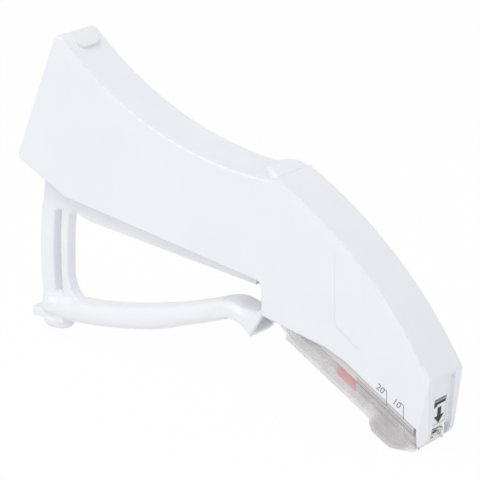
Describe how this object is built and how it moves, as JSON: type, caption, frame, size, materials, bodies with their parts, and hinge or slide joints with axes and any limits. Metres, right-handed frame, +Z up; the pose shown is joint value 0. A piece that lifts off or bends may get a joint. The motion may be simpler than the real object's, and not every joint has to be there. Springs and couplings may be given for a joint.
{
  "type": "skin stapler",
  "caption": "Hand-held skin stapler: hollow white shell, squeeze lever on a flexing post, clear staple magazine and ram nose.",
  "frame": {"origin": "middle of the underside of the bounding box, at the lowest point of the magazine", "axes": "+X from the palm end to the nose, +Z up with the nose pointing down, Y through the thickness with the left cover on -Y"},
  "size_m": [0.1515, 0.017, 0.0998],
  "materials": {
    "shell_plastic": "satin moulded white",
    "lever_plastic": "satin moulded white",
    "grey_plastic": "satin moulded light grey",
    "clear_plastic": "clear moulded",
    "red_plastic": "moulded red",
    "bright_steel": "drawn wire and pin",
    "satin_steel": "stamped stainless",
    "staple_wire": "drawn wire"
  },
  "bodies": {
    "housing": {"left_cover": "shell_plastic", "right_housing": "shell_plastic", "palm_pad": "shell_plastic", "brow_pad": "shell_plastic", "front_panel": "shell_plastic", "indicator_plate": "shell_plastic", "lever_anchor": "lever_plastic", "outer_leaf": "lever_plastic", "inner_leaf": "lever_plastic", "rocker_pivot": "bright_steel", "assembly_pins": "bright_steel", "magazine_cover": "clear_plastic", "feed_guide": "grey_plastic", "staple_track": "grey_plastic", "magazine_plug": "grey_plastic", "staple_stack": "staple_wire", "ready_staple": "staple_wire", "spring_rod": "bright_steel", "follower_spring": "bright_steel", "anvil": "satin_steel", "ejector_spring": "satin_steel"},
    "lever": {"lever_bar": "lever_plastic", "drive_pin": "bright_steel"},
    "rocker": {"rocker": "grey_plastic", "ram_pin": "bright_steel"},
    "ram": {"ram_former": "satin_steel", "ram_carrier": "grey_plastic"},
    "follower": {"follower": "red_plastic"}
  },
  "joints": [
    {"name": "lever_squeeze", "type": "hinge", "parent": "housing", "child": "lever", "pos_m": [-0.066, 0, 0.03], "axis": [0, -1, 0], "range_deg": [0, 5.5], "stiffness_Nm_per_rad": 6, "deforming": ["outer_leaf", "inner_leaf"]},
    {"name": "rocker_turn", "type": "hinge", "parent": "housing", "child": "rocker", "pos_m": [0.043, 0, 0.029], "axis": [0, 1, 0], "range_deg": [0, 14.45]},
    {"name": "ram_stroke", "type": "slide", "parent": "housing", "child": "ram", "axis": [0, 0, -1], "range_m": [0, 0.00635], "deforming": ["ready_staple", "ejector_spring"]},
    {"name": "follower_feed", "type": "slide", "parent": "housing", "child": "follower", "axis": [0.8712, 0, -0.4909], "range_m": [0, 0.02495], "deforming": ["follower_spring", "staple_stack"]}
  ],
  "couplings": [
    {"joint": "rocker_turn", "follows": "lever_squeeze", "ratio": 2.6237},
    {"joint": "ram_stroke", "follows": "lever_squeeze", "m_per_rad": 0.066045}
  ]
}
